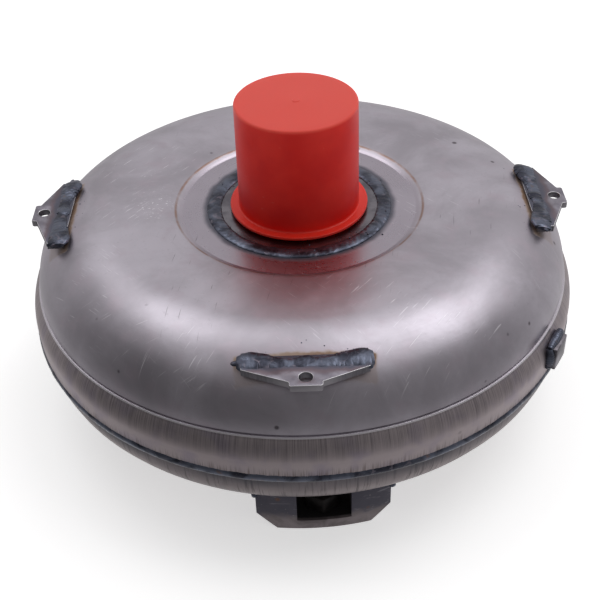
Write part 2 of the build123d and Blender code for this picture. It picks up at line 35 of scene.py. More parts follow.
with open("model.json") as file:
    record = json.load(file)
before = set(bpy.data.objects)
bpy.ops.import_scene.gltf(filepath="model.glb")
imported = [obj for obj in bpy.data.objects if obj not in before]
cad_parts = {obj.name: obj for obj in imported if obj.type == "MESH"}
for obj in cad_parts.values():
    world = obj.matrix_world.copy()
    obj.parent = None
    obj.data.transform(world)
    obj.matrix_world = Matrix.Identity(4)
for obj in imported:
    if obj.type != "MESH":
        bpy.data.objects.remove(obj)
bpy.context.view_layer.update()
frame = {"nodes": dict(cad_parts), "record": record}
mm = 0.001
scene = bpy.context.scene
print("frame loaded:", len(frame["nodes"]), "nodes")


# nodes as Python expressions

def feed(tree, slot, value):
    if isinstance(value, Wire):
        tree.links.new(value.socket, slot)
    elif value is not None:
        slot.default_value = value


def mathNode(tree, operation, values):
    node = tree.nodes.new("ShaderNodeMath")
    node.operation = operation
    for slot, value in zip(node.inputs, values):
        feed(tree, slot, value)
    return Wire(tree, node.outputs[0])


class Wire:
    # one socket, so that shader sums read as sums
    def __init__(self, tree, socket):
        self.tree = tree
        self.socket = socket

    def do(self, operation, *others):
        return mathNode(self.tree, operation, (self, *others))

    def __add__(self, other):
        return mathNode(self.tree, "ADD", (self, other))

    def __radd__(self, other):
        return mathNode(self.tree, "ADD", (other, self))

    def __sub__(self, other):
        return mathNode(self.tree, "SUBTRACT", (self, other))

    def __rsub__(self, other):
        return mathNode(self.tree, "SUBTRACT", (other, self))

    def __mul__(self, other):
        return mathNode(self.tree, "MULTIPLY", (self, other))

    def __rmul__(self, other):
        return mathNode(self.tree, "MULTIPLY", (other, self))

    def __truediv__(self, other):
        return mathNode(self.tree, "DIVIDE", (self, other))

    def __rtruediv__(self, other):
        return mathNode(self.tree, "DIVIDE", (other, self))


class Board:
    # a node tree and the few ways its nodes are added
    def __init__(self, tree):
        self.tree = tree
        tree.nodes.clear()

    def add(self, kind, settings=None, values=None, out=0):
        node = self.tree.nodes.new(kind)
        for key, value in (settings or {}).items():
            setattr(node, key, value)
        for key, value in (values or {}).items():
            feed(self.tree, node.inputs[key], value)
        return Wire(self.tree, node.outputs[out]) if len(node.outputs) else None

    def vector(self, x, y, z):
        return self.add("ShaderNodeCombineXYZ", None, {0: x, 1: y, 2: z})

    def split(self, vector):
        node = self.add("ShaderNodeSeparateXYZ", None, {0: vector}).socket.node
        return [Wire(self.tree, socket) for socket in node.outputs]

    def noise(self, vector, scale=1.0, detail=2.0, roughness=0.5, distortion=0.0):
        values = {"Vector": vector, "Scale": scale, "Detail": detail, "Roughness": roughness,
                  "Distortion": distortion}
        return self.add("ShaderNodeTexNoise", None, values)

    def smooth(self, value, low, high, start=0.0, end=1.0):
        values = {0: value, 1: low, 2: high, 3: start, 4: end}
        return self.add("ShaderNodeMapRange", {"interpolation_type": "SMOOTHSTEP"}, values)

    def blend(self, mask, first, second):
        settings = {"data_type": "RGBA", "clamp_factor": True}
        return self.add("ShaderNodeMix", settings, {0: mask, 6: first, 7: second}, out=2)


class Surface(Board):
    # a material with one Principled shader, read on object coordinates
    def __init__(self, name):
        self.material = bpy.data.materials.new(name)
        self.material.use_nodes = True
        super().__init__(self.material.node_tree)
        self.place = self.add("ShaderNodeTexCoord", None, None, out=3)
        self.x, self.y, self.z = self.split(self.place)
        self.radius = (self.x * self.x + self.y * self.y).do("SQRT")
        self.across = self.x / self.radius
        self.along = self.y / self.radius

    def ringed(self, turns, meridian):
        # coordinates that stretch a pattern round the axis
        return self.vector(self.across * turns, self.along * turns, meridian)

    def finish(self, colour, roughness, metallic, bump=None, strength=0.3, depth=0.2, fixed=None):
        values = {"Base Color": colour, "Roughness": roughness, "Metallic": metallic}
        values.update(fixed or {})
        if bump is not None:
            lift = {"Height": bump, "Strength": strength, "Distance": depth * mm}
            values["Normal"] = self.add("ShaderNodeBump", None, lift)
        shader = self.add("ShaderNodeBsdfPrincipled", None, values)
        self.add("ShaderNodeOutputMaterial", None, {0: shader})
        return self.material


def paint(red, green, blue):
    return (red, green, blue, 1.0)


# finishes, their own distances in millimetres

earFold = dict(inner=132.6, outer=143.0, half=34.2, haloOut=2.2, haloIn=0.2)


def folded(s):
    # outward and sideways of the nearest quarter, so that the four ears and lugs share a pattern
    wide, deep = s.x.do("ABSOLUTE"), s.y.do("ABSOLUTE")
    return wide.do("MAXIMUM", deep), wide.do("MINIMUM", deep)


def earDistance(outward, sideways):
    # distance outside the nearest ear's weld
    middle = (earFold["inner"] + earFold["outer"]) / 2 * mm
    half = (earFold["outer"] - earFold["inner"]) / 2 * mm
    first = ((outward - middle).do("ABSOLUTE") - half).do("MAXIMUM", 0.0)
    second = (sideways - earFold["half"] * mm).do("MAXIMUM", 0.0)
    return (first * first + second * second).do("SQRT")


def scratches(s, angle, seed, length=70.0, width=1300.0, limit=0.68):
    # thin straight marks along one heading, in patches
    cosine, sine = math.cos(angle), math.sin(angle)
    ahead = s.x * cosine + s.y * sine
    aside = s.y * cosine - s.x * sine
    lines = s.noise(s.vector(ahead * length, aside * width, seed), detail=1.0)
    patch = s.noise(s.vector(s.x * 11.0, s.y * 11.0, seed * 3.1), detail=1.0)
    return s.smooth(lines, limit, limit + 0.06) * s.smooth(patch, 0.52, 0.62)


def pits(s, scale, keep, size, seed=0.0):
    # scattered small round nicks, in a share of the cells
    cell = {"Vector": s.vector(s.x + seed, s.y + seed, s.z), "Scale": scale}
    distance = s.add("ShaderNodeTexVoronoi", None, cell)
    chance = s.split(s.add("ShaderNodeTexVoronoi", None, cell, out=1))[0]
    return s.smooth(distance, size, size * 0.4) * s.smooth(chance, keep, keep + 0.02)


shellFinish = dict(
    light=paint(0.545, 0.512, 0.570), dark=paint(0.40, 0.372, 0.415), purple=paint(0.47, 0.41, 0.465),
    flat=paint(0.46, 0.415, 0.475), band=paint(0.55, 0.48, 0.495), bandDark=paint(0.15, 0.135, 0.145),
    rust=paint(0.30, 0.18, 0.13), halo=paint(0.20, 0.105, 0.050), straw=paint(0.42, 0.315, 0.235),
    soot=paint(0.10, 0.105, 0.135), brightMarkAndHighlight=paint(0.92, 0.90, 0.94), nick=paint(0.075, 0.062, 0.072),
    seam=85.0, flatOut=71.0, flatIn=69.5, step=72.3, sootOut=58.0, sootIn=54.5, streakEnd=15.0,
    streakFull=4.0, tickStart=17.0, tickFull=23.0, lip=0.6, tintLow=139.0, tintHigh=134.0,
    markLow=96.0, markHigh=108.0, dingX=-86.0, dingY=10.0, dingWide=17.0, dingDeep=31.0)


def shellSteel():
    f = shellFinish
    s = Surface("shellSteel")
    meridian = s.radius - s.z
    brushed = s.noise(s.ringed(3.0, meridian * 950.0), detail=4.0, roughness=0.65)
    fine = s.noise(s.ringed(16.0, meridian * 4200.0), detail=2.0)
    clouds = s.noise(s.place, scale=21.0, detail=5.0, roughness=0.6, distortion=0.4)
    stains = s.noise(s.place, scale=75.0, detail=4.0)
    specks = s.noise(s.place, scale=430.0, detail=3.0, roughness=0.6)
    onDome = s.smooth(s.z, (f["seam"] - 0.9) * mm, (f["seam"] + 0.1) * mm)
    onFlat = s.smooth(s.radius, f["flatOut"] * mm, f["flatIn"] * mm)

    colour = s.blend(s.smooth(clouds, 0.32, 0.70), f["dark"], f["light"])
    colour = s.blend(s.smooth(stains, 0.5, 0.72, 0.0, 0.5), colour, f["purple"])
    colour = s.blend(s.smooth(brushed, 0.38, 0.26, 0.0, 0.30), colour, f["dark"])
    colour = s.blend(s.smooth(specks, 0.60, 0.72, 0.0, 0.35), colour, f["dark"])
    colour = s.blend(onFlat * 0.75, colour, f["flat"])

    # upright draw streaks on the band, heavy under the seam and in ticks by the weld
    streak = s.noise(s.ringed(290.0, s.z * 26.0), detail=3.0, roughness=0.7)
    broad = s.noise(s.ringed(34.0, s.z * 16.0), detail=2.0)
    below = f["seam"] * mm - s.z
    heavy = s.smooth(below + (broad - 0.5) * 8.0 * mm, f["streakEnd"] * mm, f["streakFull"] * mm)
    ticks = s.smooth(below + (broad - 0.5) * 9.0 * mm, f["tickStart"] * mm, f["tickFull"] * mm)
    bandMark = (s.smooth(streak, 0.40, 0.66) * (heavy * 0.46 + ticks * 0.6)
                + heavy * 0.26).do("MINIMUM", 0.9)
    band = s.blend(s.smooth(stains, 0.45, 0.7), f["band"], f["purple"])
    band = s.blend(bandMark, band, f["bandDark"])
    band = s.blend(ticks * s.smooth(streak, 0.55, 0.72, 0.0, 0.6), band, f["rust"])
    # painted highlight: a thin near-white line along the lip just under the seam, where the ledge catches
    # the light
    lip = s.smooth((below - f["lip"] * mm).do("ABSOLUTE"), f["lip"] * mm, f["lip"] / 3 * mm)
    band = s.blend(lip * 0.9, band, f["brightMarkAndHighlight"])
    colour = s.blend(onDome, band, colour)

    # marks left by use and handling
    marks = (scratches(s, 0.9, 2.3) + scratches(s, 2.3, 7.9) * 0.8
             + scratches(s, 0.2, 4.4, limit=0.72) * 0.7).do("MINIMUM", 1.0)
    marks = marks * s.smooth(s.z, f["markLow"] * mm, f["markHigh"] * mm)
    # one patch of small bright dings where the shell was knocked
    acrossDings = (s.x - f["dingX"] * mm) / (f["dingWide"] * mm)
    alongDings = (s.y - f["dingY"] * mm) / (f["dingDeep"] * mm)
    patch = s.smooth((acrossDings * acrossDings + alongDings * alongDings).do("SQRT"), 1.1, 0.55)
    chips = s.noise(s.vector(s.x * 620.0, s.y * 900.0, s.z * 80.0), detail=2.0, distortion=0.8)
    dings = s.smooth(chips, 0.64, 0.70) * s.smooth(clouds, 0.44, 0.54) * patch * onDome
    nicks = (pits(s, 75.0, 0.84, 0.13) + pits(s, 34.0, 0.86, 0.07, 0.4)
             + scratches(s, 1.4, 5.2, length=60.0, width=1100.0, limit=0.72) * 0.7).do("MINIMUM", 1.0)
    colour = s.blend(marks * 0.5, colour, f["brightMarkAndHighlight"])
    colour = s.blend(dings * 0.9, colour, f["brightMarkAndHighlight"])
    colour = s.blend(nicks * 0.8, colour, f["nick"])

    # heat: straw brown above the ear welds, soot round the hub weld, a dark line at the pressed step
    outward, sideways = folded(s)
    ragged = earDistance(outward, sideways) + (s.noise(s.place, scale=190.0, detail=3.0) - 0.5) * 3.2 * mm
    above = s.smooth(outward, f["tintLow"] * mm, f["tintHigh"] * mm, 0.25, 1.0) * onDome
    tinted = s.smooth(ragged, earFold["haloOut"] * mm, earFold["haloIn"] * mm) * above
    wide = s.smooth(ragged, 7.5 * mm, 1.5 * mm, 0.0, 0.45) * above
    burnt = s.smooth(ragged, 1.3 * mm, 0.1 * mm) * s.smooth(clouds, 0.36, 0.60, 0.35, 1.0)
    colour = s.blend(wide, colour, f["purple"])
    colour = s.blend(tinted * 0.75, colour, f["straw"])
    colour = s.blend(burnt * above * 0.85, colour, f["halo"])
    soot = s.smooth(s.radius + (stains - 0.5) * 4.0 * mm, f["sootOut"] * mm, f["sootIn"] * mm)
    colour = s.blend(soot * 0.9, colour, f["soot"])
    step = s.smooth((s.radius - f["step"] * mm).do("ABSOLUTE"), 1.1 * mm, 0.2 * mm)
    colour = s.blend(step * s.smooth(stains, 0.38, 0.6, 0.25, 0.8), colour, f["rust"])

    roughness = 0.27 + brushed * 0.10 + clouds * 0.08 + specks * 0.06 - onFlat * 0.10
    roughness = roughness + (1.0 - onDome) * 0.05 + marks * 0.12 + tinted * 0.15 + soot * 0.12
    height = (brushed * 0.5 + fine * 0.35 + specks * 0.4 + (1.0 - onDome) * streak * 0.9
              - marks * 0.5 - nicks * 1.5)
    metal = 1.0 - tinted * 0.35 - soot * 0.2
    return s.finish(colour, roughness, metal, height, strength=0.35, depth=0.05)


coverFinish = dict(
    light=paint(0.42, 0.365, 0.37), dark=paint(0.29, 0.25, 0.26), streak=paint(0.10, 0.085, 0.09),
    burnt=paint(0.085, 0.085, 0.10), heatLow=44.0, heatHigh=54.0)


def coverSteel():
    f = coverFinish
    s = Surface("coverSteel")
    streak = s.noise(s.ringed(120.0, s.z * 30.0), detail=3.0, roughness=0.7)
    clouds = s.noise(s.place, scale=26.0, detail=5.0)
    brushed = s.noise(s.ringed(3.0, (s.radius - s.z) * 800.0), detail=3.0)
    colour = s.blend(s.smooth(clouds, 0.35, 0.65), f["dark"], f["light"])
    colour = s.blend(s.smooth(streak, 0.50, 0.68, 0.0, 0.7), colour, f["streak"])
    near = s.smooth(s.z, f["heatLow"] * mm, f["heatHigh"] * mm)
    colour = s.blend(near * s.smooth(clouds, 0.35, 0.6, 0.55, 1.0) * 0.85, colour, f["burnt"])
    roughness = 0.34 + clouds * 0.14 + streak * 0.08
    return s.finish(colour, roughness, 1.0 - near * 0.25, brushed * 0.5 + streak * 0.4,
                    strength=0.35, depth=0.06)


weldFinish = dict(
    black=paint(0.042, 0.044, 0.062), blue=paint(0.135, 0.150, 0.200), violet=paint(0.21, 0.185, 0.225),
    straw=paint(0.20, 0.13, 0.10), silver=paint(0.44, 0.45, 0.49))


def weldBlue():
    # glassy blue-black bead with straw and silver patches
    f = weldFinish
    s = Surface("weldBlue")
    lumps = s.noise(s.place, scale=330.0, detail=5.0, roughness=0.65)
    patches = s.noise(s.place, scale=95.0, detail=3.0, distortion=0.6)
    flow = s.noise(s.place, scale=160.0, detail=4.0, distortion=1.6)
    colour = s.blend(s.smooth(patches, 0.36, 0.64), f["black"], f["blue"])
    colour = s.blend(s.smooth(flow, 0.56, 0.70, 0.0, 0.6), colour, f["violet"])
    colour = s.blend(s.smooth(patches, 0.66, 0.76, 0.0, 0.6), colour, f["straw"])
    colour = s.blend(s.smooth(lumps, 0.67, 0.75, 0.0, 0.6), colour, f["silver"])
    roughness = 0.15 + lumps * 0.20 + flow * 0.12
    return s.finish(colour, roughness, 0.9, lumps + patches * 0.6 + flow * 0.5, strength=0.6, depth=0.30)


earFinish = dict(
    light=paint(0.33, 0.31, 0.355), dark=paint(0.20, 0.185, 0.22), brown=paint(0.17, 0.135, 0.155),
    blue=paint(0.115, 0.115, 0.15), sheared=paint(0.36, 0.35, 0.38), torn=paint(0.13, 0.125, 0.145),
    worn=paint(0.50, 0.48, 0.51), edge=paint(0.95, 0.94, 0.96), brownFrom=149.0, brownFull=145.5,
    blueFrom=146.0, blueFull=143.0, wornFrom=148.0, wornFull=152.5)


def earSteel():
    f = earFinish
    s = Surface("earSteel")
    outward, _ = folded(s)
    clouds = s.noise(s.place, scale=120.0, detail=5.0)
    grain = s.noise(s.vector(s.x * 500.0, s.y * 500.0, s.z * 2600.0), detail=2.0)
    plain = s.blend(s.smooth(clouds, 0.3, 0.7), f["dark"], f["light"])
    heat = outward + (clouds - 0.5) * 7.0 * mm
    colour = s.blend(s.smooth(heat, f["brownFrom"] * mm, f["brownFull"] * mm), plain, f["brown"])
    colour = s.blend(s.smooth(heat, f["blueFrom"] * mm, f["blueFull"] * mm), colour, f["blue"])
    # upright faces are sheared and darker than the rolled top
    facing = s.split(s.add("ShaderNodeNewGeometry", None, None, out=1))[2].do("ABSOLUTE")
    sheared = s.smooth(facing, 0.75, 0.35)
    shear = s.noise(s.vector(s.x * 900.0, s.y * 900.0, s.z * 160.0), detail=2.0)
    side = s.blend(shear, f["torn"], f["sheared"])
    worn = s.smooth(outward, f["wornFrom"] * mm, f["wornFull"] * mm, 0.0, 0.75)
    side = s.blend(worn, side, f["worn"])
    colour = s.blend(sheared * 0.9, colour, side)
    # painted highlight: the broken edges between the top and the upright faces are painted near white
    edge = s.smooth(facing, 0.97, 0.88) * s.smooth(facing, 0.45, 0.58)
    colour = s.blend(edge, colour, f["edge"])
    roughness = 0.30 + clouds * 0.16 + sheared * 0.12
    return s.finish(colour, roughness, 1.0, grain * 0.5 + clouds * 0.4, strength=0.3, depth=0.08)


lugFinish = dict(
    light=paint(0.33, 0.29, 0.30), dark=paint(0.19, 0.165, 0.17), scale=paint(0.085, 0.085, 0.115),
    stroke=paint(0.33, 0.32, 0.36), grit=paint(0.36, 0.34, 0.35), rust=paint(0.22, 0.10, 0.05),
    shade=paint(0.012, 0.011, 0.012), mouth=142.8, deep=141.0, ceiling=26.5, wall=24.0,
    scaleLow=7.0, scaleHigh=13.0)


def lugSteel():
    # scale-grey forging, taupe low down, blue-black where it was welded, painted shade near black inside
    # its window
    f = lugFinish
    s = Surface("lugSteel")
    clouds = s.noise(s.place, scale=70.0, detail=6.0, roughness=0.6, distortion=0.5)
    grit = s.noise(s.place, scale=420.0, detail=3.0)
    strokes = s.noise(s.vector(s.x * 90.0, s.y * 90.0, s.z * 420.0), detail=4.0, distortion=1.2)
    colour = s.blend(s.smooth(clouds, 0.35, 0.65), f["dark"], f["light"])
    high = s.smooth(s.z + (clouds - 0.5) * 16.0 * mm, f["scaleLow"] * mm, f["scaleHigh"] * mm)
    colour = s.blend(high * 0.85, colour, f["scale"])
    colour = s.blend(s.smooth(strokes, 0.60, 0.70, 0.0, 0.55) * high, colour, f["stroke"])
    colour = s.blend(s.smooth(grit, 0.66, 0.74, 0.0, 0.5), colour, f["grit"])
    colour = s.blend(pits(s, 60.0, 0.80, 0.16), colour, f["rust"])
    # painted shade: inside each window, under its ceiling and between its walls, the colour is near black
    # where little light reaches
    inside = (s.smooth(s.radius, f["mouth"] * mm, f["deep"] * mm)
              * s.smooth(s.z, f["ceiling"] * mm, (f["ceiling"] - 1.0) * mm))
    _, sideways = folded(s)
    windowShade = inside * s.smooth(sideways, f["wall"] * mm, (f["wall"] - 1.0) * mm)
    colour = s.blend(windowShade, colour, f["shade"])
    roughness = 0.38 + clouds * 0.22 + grit * 0.1 + inside * 0.2
    return s.finish(colour, roughness, 0.85 - inside * 0.5, clouds + grit * 0.5 + strokes * 0.5,
                    strength=0.5, depth=0.3)


def darkSteel(name, light, dark, rough):
    s = Surface(name)
    clouds = s.noise(s.place, scale=110.0, detail=5.0, distortion=0.3)
    grit = s.noise(s.place, scale=700.0, detail=2.0)
    colour = s.blend(s.smooth(clouds, 0.35, 0.65), dark, light)
    colour = s.blend(s.smooth(grit, 0.62, 0.72, 0.0, 0.4), colour, light)
    return s.finish(colour, rough + clouds * 0.2, 0.9, clouds + grit * 0.5, strength=0.4, depth=0.12)


def turnedSteel(name, light, dark, rough, pitch=1300.0):
    # lathe marks round the axis
    s = Surface(name)
    lathe = s.noise(s.ringed(2.0, (s.radius - s.z) * pitch), detail=3.0)
    clouds = s.noise(s.place, scale=60.0, detail=4.0)
    colour = s.blend(s.smooth(lathe, 0.35, 0.65) * 0.6 + clouds * 0.3, light, dark)
    colour = s.blend(s.smooth(clouds, 0.6, 0.75, 0.0, 0.4), colour, paint(0.30, 0.22, 0.15))
    return s.finish(colour, rough + lathe * 0.10, 1.0, lathe, strength=0.3, depth=0.06)


hubFinish = dict(
    ground=paint(0.58, 0.57, 0.57), lathe=paint(0.48, 0.47, 0.47), soot=paint(0.14, 0.13, 0.15),
    grey=paint(0.24, 0.225, 0.25), heatShadeTop=132.0, heatShadeFull=122.0)


def hubSteel():
    # ground neck; flange darkened by heat tint and by painted shade under the cap
    f = hubFinish
    s = Surface("hubSteel")
    lathe = s.noise(s.ringed(2.0, s.z * 2200.0), detail=3.0)
    clouds = s.noise(s.place, scale=90.0, detail=4.0)
    bright = s.blend(s.smooth(lathe, 0.35, 0.65), f["ground"], f["lathe"])
    sootAndShade = s.blend(s.smooth(clouds, 0.4, 0.65), f["soot"], f["grey"])
    # darker towards the flange: heat tint together with painted shade under the cap's flange
    heat = s.smooth(s.z + clouds * 4.0 * mm, f["heatShadeTop"] * mm, f["heatShadeFull"] * mm)
    colour = s.blend(heat, bright, sootAndShade)
    return s.finish(colour, 0.20 + lathe * 0.08 + heat * 0.03, 1.0, lathe + clouds * heat,
                    strength=0.25, depth=0.06)


def castAlloy():
    s = Surface("castAlloy")
    sand = s.noise(s.place, scale=520.0, detail=4.0, roughness=0.7)
    clouds = s.noise(s.place, scale=45.0, detail=3.0)
    colour = s.blend(s.smooth(clouds, 0.35, 0.65), paint(0.58, 0.58, 0.59), paint(0.72, 0.72, 0.73))
    return s.finish(colour, 0.42 + sand * 0.18, 1.0, sand, strength=0.5, depth=0.15)


capFinish = dict(
    low=paint(0.94, 0.018, 0.008), side=paint(0.84, 0.008, 0.003), top=paint(0.98, 0.095, 0.070),
    rim=paint(0.97, 0.040, 0.022), scuff=paint(0.97, 0.13, 0.09), flange=122.8, endLow=184.6, endHigh=186.6)


def capPlastic():
    # waxy moulded plastic with faint draw lines and handling scuffs; its end face and flange are painted
    # lighter as painted light
    f = capFinish
    s = Surface("capPlastic")
    drawn = s.noise(s.ringed(42.0, s.z * 7.0), detail=3.0)
    ringed = s.noise(s.ringed(1.5, s.z * 260.0), detail=2.0)
    clouds = s.noise(s.place, scale=38.0, detail=4.0)
    grain = s.noise(s.place, scale=900.0, detail=2.0)
    # painted highlight: the end face is painted a lighter salmon red, as light falling on the top
    end = s.smooth(s.z, f["endLow"] * mm, f["endHigh"] * mm)
    colour = s.blend(s.smooth(clouds, 0.35, 0.65), f["side"], f["low"])
    colour = s.blend(end * 0.9, colour, f["top"])
    # painted light: the flange is painted a brighter red, as light falling on its upper face
    rim = s.smooth(s.z, (f["flange"] + 1.5) * mm, f["flange"] * mm)
    colour = s.blend(rim * 0.8, colour, f["rim"])
    rubbed = s.noise(s.ringed(9.0, s.z * 520.0), detail=2.0)
    scuff = s.smooth(rubbed, 0.67, 0.74) * s.smooth(clouds, 0.5, 0.62)
    colour = s.blend(scuff * 0.5, colour, f["scuff"])
    roughness = 0.30 + clouds * 0.10 + drawn * 0.06 + scuff * 0.12
    bump = drawn * 0.5 + ringed * 0.4 + grain * 0.12
    return s.finish(colour, roughness, 0.0, bump, strength=0.25, depth=0.12,
                    fixed={"IOR": 1.40, "Subsurface Weight": 0.30, "Subsurface Scale": 0.008})


finishes = {
    "shell_steel": shellSteel(),
    "cover_steel": coverSteel(),
    "weld": weldBlue(),
    "ear_steel": earSteel(),
    "lug_steel": lugSteel(),
    # the nuts sit inside the lug windows; their near-black colour is painted shade
    "nut_steel": darkSteel("nutSteel", paint(0.050, 0.046, 0.046), paint(0.020, 0.018, 0.018), 0.45),
    "weight_steel": darkSteel("weightSteel", paint(0.34, 0.32, 0.36), paint(0.13, 0.12, 0.135), 0.30),
    "hub_steel": hubSteel(),
    "cap_plastic": capPlastic(),
    "blade_steel": turnedSteel("bladeSteel", paint(0.60, 0.59, 0.60), paint(0.46, 0.45, 0.46), 0.30, 600.0),
    "machined_steel": turnedSteel("machinedSteel", paint(0.64, 0.64, 0.65), paint(0.50, 0.50, 0.51), 0.22),
    "cast_alloy": castAlloy(),
    "bearing_steel": turnedSteel("bearingSteel", paint(0.74, 0.74, 0.75), paint(0.62, 0.62, 0.64), 0.12,
                                 2400.0),
}
print("finishes ready:", len(finishes))


# trees for turned forms, weld beads and spatter

def newTree(name, inputs):
    # an empty geometry tree with its named inputs; returns its board, input wires and output slot
    tree = bpy.data.node_groups.new(name, "GeometryNodeTree")
    tree.interface.new_socket("Geometry", in_out="INPUT", socket_type="NodeSocketGeometry")
    tree.interface.new_socket("Geometry", in_out="OUTPUT", socket_type="NodeSocketGeometry")
    for key, kind in inputs.items():
        tree.interface.new_socket(key, in_out="INPUT", socket_type="NodeSocket" + kind)
    board = Board(tree)
    entry = board.add("NodeGroupInput").socket.node
    wires = {socket.name: Wire(tree, socket) for socket in entry.outputs if socket.name}
    return board, wires


def closeTree(board, geometry, material):
    solid = board.add("GeometryNodeRealizeInstances", None, {0: geometry})
    painted = board.add("GeometryNodeSetMaterial", None, {"Geometry": solid, "Material": material})
    board.add("NodeGroupOutput", None, {0: painted})
    return board.tree


def roughen(board, geometry, wires, phase):
    # ripples along a bead and lumps all over it, pushed along the normal
    place = board.add("GeometryNodeInputPosition")
    normal = board.add("GeometryNodeInputNormal")
    lumps = board.add("ShaderNodeTexNoise", {"noise_dimensions": "4D"},
                      {"Vector": place, "W": wires["Seed"], "Scale": wires["Lump Scale"], "Detail": 3.0})
    lift = phase.do("SINE") * wires["Ripple Height"] + (lumps - 0.5) * wires["Lump Height"]
    push = board.add("ShaderNodeVectorMath", {"operation": "SCALE"}, {0: normal, "Scale": lift})
    return board.add("GeometryNodeSetPosition", None, {"Geometry": geometry, "Offset": push})


roughInputs = {"Ripple Height": "Float", "Lump Scale": "Float", "Lump Height": "Float", "Seed": "Float"}


def turnedTree():
    # turns a string of points in the XZ plane into a closed form round Z
    board, wires = newTree("turnedForm", {"Segments": "Int", "Ripples": "Float", **roughInputs,
                                          "Material": "Material"})
    outline = wires["Geometry"]
    count = board.add("GeometryNodeAttributeDomainSize", None, {0: outline})
    sheet = board.add("GeometryNodeMeshGrid", None,
                      {"Vertices X": wires["Segments"] + 1.0, "Vertices Y": count})
    index = board.add("GeometryNodeInputIndex")
    column = ((index + 0.5) / count).do("FLOOR")
    row = index - column * count
    point = board.add("GeometryNodeSampleIndex", {"data_type": "FLOAT_VECTOR"},
                      {"Geometry": outline, "Value": board.add("GeometryNodeInputPosition"), "Index": row})
    reach, _, level = board.split(point)
    turn = column * (2 * math.pi) / wires["Segments"]
    place = board.vector(reach * turn.do("COSINE"), reach * turn.do("SINE"), level)
    form = board.add("GeometryNodeSetPosition", None, {"Geometry": sheet, "Position": place})
    form = board.add("GeometryNodeMergeByDistance", None, {"Geometry": form, "Distance": 0.002 * mm})
    x, y, z = board.split(board.add("GeometryNodeInputPosition"))
    phase = y.do("ARCTAN2", x) * wires["Ripples"] + (x * x + y * y).do("SQRT") * 900.0
    form = roughen(board, form, wires, phase)
    form = board.add("GeometryNodeSetShadeSmooth", None, {"Geometry": form})
    return closeTree(board, form, wires["Material"])


def beadTree():
    # a weld bead along each line, as thick as the line's own radius, flattened and rippled
    board, wires = newTree("weldBead", {
        "Spacing": "Float", "Sides": "Int", "Pitch": "Float", "Level": "Float", "Slope": "Float",
        "Reach": "Float", "Squash": "Float", **roughInputs, "Material": "Material"})
    path = board.add("GeometryNodeResampleCurve", {"mode": "LENGTH"},
                     {"Curve": wires["Geometry"], "Length": wires["Spacing"]})
    parameter = board.add("GeometryNodeSplineParameter", None, None, out=1)
    stored = board.add("GeometryNodeStoreNamedAttribute", {"data_type": "FLOAT", "domain": "POINT"},
                       {"Geometry": path, "Name": "travel", "Value": parameter})
    circle = board.add("GeometryNodeCurvePrimitiveCircle", None,
                       {"Resolution": wires["Sides"], "Radius": 1.0})
    values = {"Curve": stored, "Profile Curve": circle, "Fill Caps": True}
    mesh = board.add("GeometryNodeCurveToMesh", None, values)
    scaleSlot = mesh.socket.node.inputs.get("Scale")
    if scaleSlot:
        feed(board.tree, scaleSlot, board.add("GeometryNodeInputRadius"))
    travel = board.add("GeometryNodeInputNamedAttribute", {"data_type": "FLOAT"}, {"Name": "travel"})
    phase = travel * (2 * math.pi) / wires["Pitch"]
    x, y, z = board.split(board.add("GeometryNodeInputPosition"))
    outer = x.do("ABSOLUTE").do("MAXIMUM", y.do("ABSOLUTE"))
    sheet = wires["Level"] + (wires["Reach"] - outer) * wires["Slope"]
    pressed = board.vector(x, y, z + (sheet - z) * wires["Squash"])
    form = board.add("GeometryNodeSetPosition", None, {"Geometry": mesh, "Position": pressed})
    form = roughen(board, form, wires, phase)
    form = board.add("GeometryNodeSetShadeSmooth", None, {"Geometry": form})
    return closeTree(board, form, wires["Material"])


def spatterTree():
    # a small flattened ball of spatter on each point
    board, wires = newTree("weldSpatter", {"Smallest": "Float", "Largest": "Float", "Seed": "Int",
                                           "Material": "Material"})
    ball = board.add("GeometryNodeMeshIcoSphere", None, {"Radius": 1.0, "Subdivisions": 2})
    size = board.add("FunctionNodeRandomValue", {"data_type": "FLOAT"},
                     {2: wires["Smallest"], 3: wires["Largest"], "Seed": wires["Seed"]}, out=1)
    balls = board.add("GeometryNodeInstanceOnPoints", None,
                      {"Points": wires["Geometry"], "Instance": ball, "Scale": size})
    solid = board.add("GeometryNodeRealizeInstances", None, {0: balls})
    form = board.add("GeometryNodeSetShadeSmooth", None, {"Geometry": solid})
    return closeTree(board, form, wires["Material"])


turnedForm = turnedTree()
weldBead = beadTree()
weldSpatter = spatterTree()


def place(name, mesh):
    piece = bpy.data.objects.new(name, mesh)
    scene.collection.objects.link(piece)
    return piece


def faceOut(mesh):
    bm = bmesh.new()
    bm.from_mesh(mesh)
    bmesh.ops.recalc_face_normals(bm, faces=bm.faces)
    bm.to_mesh(mesh)
    bm.free()


def grown(name, base, tree, inputs):
    # runs a tree on some base data and keeps the result as a plain mesh
    holder = place(name + "Base", base)
    modifier = holder.modifiers.new("grow", "NODES")
    modifier.node_group = tree
    for item in tree.interface.items_tree:
        if item.in_out == "INPUT" and item.name in inputs:
            modifier[item.identifier] = inputs[item.name]
    graph = bpy.context.evaluated_depsgraph_get()
    mesh = bpy.data.meshes.new_from_object(holder.evaluated_get(graph))
    bpy.data.objects.remove(holder)
    mesh.name = name
    faceOut(mesh)
    return place(name, mesh)


standIns = set()


def settle(piece, body, slot, *nodes):
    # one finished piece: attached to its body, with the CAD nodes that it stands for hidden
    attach(piece, body)
    if nodes:
        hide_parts(*nodes)
        standIns.update(nodes)
    return piece


def lineMesh(name, points):
    mesh = bpy.data.meshes.new(name)
    edges = [(k, k + 1) for k in range(len(points) - 1)]
    mesh.from_pydata([(r * mm, 0.0, z * mm) for r, z in points], edges, [])
    return mesh


